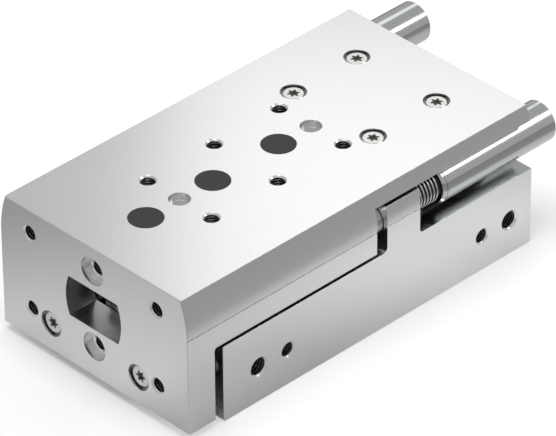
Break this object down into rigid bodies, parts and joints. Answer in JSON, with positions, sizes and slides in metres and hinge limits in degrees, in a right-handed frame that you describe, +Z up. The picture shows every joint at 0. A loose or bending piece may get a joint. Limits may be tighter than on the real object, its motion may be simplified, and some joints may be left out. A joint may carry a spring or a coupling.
{
  "type": "pneumatic slide table",
  "caption": "Compact air-driven slide table: twin-piston housing, ball-guided L-shaped slide with tapped grid, and screw-in shock absorbers for both ends of the stroke.",
  "frame": {"origin": "centre of the base hole pattern, on the housing's base face", "axes": "+X right, +Y to the rear (the slide advances towards -Y), +Z up from the base to the table"},
  "size_m": [0.059, 0.1239, 0.0362],
  "materials": {
    "housing_aluminium": "fine milled, clear anodised",
    "slide_aluminium": "fine milled, clear anodised",
    "guide_steel": "ground",
    "ball_steel": "polished",
    "screw_steel": "zinc plated",
    "spring_steel": "phosphated",
    "bush_bronze": "turned",
    "plug_aluminium": "turned",
    "seal_rubber": "moulded",
    "magnet_black": "sintered",
    "plug_black": "moulded",
    "cap_plastic": "moulded",
    "rod_steel": "ground and hard-chromed",
    "absorber_steel": "ground and nickel-plated",
    "plunger_steel": "ground"
  },
  "bodies": {
    "housing": {"housing": "housing_aluminium", "guide_rail": "guide_steel", "rail_screws": "screw_steel", "rod_bush_left": "bush_bronze", "rod_bush_right": "bush_bronze", "rod_seals": "seal_rubber", "front_retaining_rings": "spring_steel", "rear_plug_left": "plug_aluminium", "rear_plug_right": "plug_aluminium", "rear_plug_seals": "seal_rubber", "rear_retaining_rings": "spring_steel", "retract_absorber_body": "absorber_steel", "retract_absorber_sleeve": "absorber_steel"},
    "slide": {"slide_table": "slide_aluminium", "hole_plugs": "plug_black", "carriage_screws": "screw_steel", "rod_screws": "screw_steel", "carriage_block": "guide_steel", "carriage_end_cap_front": "cap_plastic", "carriage_end_cap_rear": "cap_plastic", "carriage_wiper_front": "seal_rubber", "carriage_wiper_rear": "seal_rubber", "end_cap_screws": "screw_steel", "guide_balls": "ball_steel", "piston_rod_left": "rod_steel", "piston_rod_right": "rod_steel", "piston_left": "plug_aluminium", "piston_right": "plug_aluminium", "piston_seals": "seal_rubber", "piston_magnets": "magnet_black", "piston_buffers": "seal_rubber", "advance_absorber_body": "absorber_steel", "advance_absorber_sleeve": "absorber_steel"},
    "retract_plunger": {"retract_plunger": "plunger_steel"},
    "advance_plunger": {"advance_plunger": "plunger_steel"}
  },
  "joints": [
    {"name": "slide_stroke", "type": "slide", "parent": "housing", "child": "slide", "axis": [0, -1, 0], "range_m": [0, 0.05]},
    {"name": "retract_plunger_slide", "type": "slide", "parent": "housing", "child": "retract_plunger", "axis": [0, -1, 0], "range_m": [0, 0.005]},
    {"name": "advance_plunger_slide", "type": "slide", "parent": "slide", "child": "advance_plunger", "axis": [0, 1, 0], "range_m": [0, 0.005]}
  ],
  "couplings": [
    {"joint": "retract_plunger_slide", "follows": "slide_stroke", "ratio": 0.1},
    {"joint": "advance_plunger_slide", "follows": "slide_stroke", "ratio": 0.1}
  ]
}
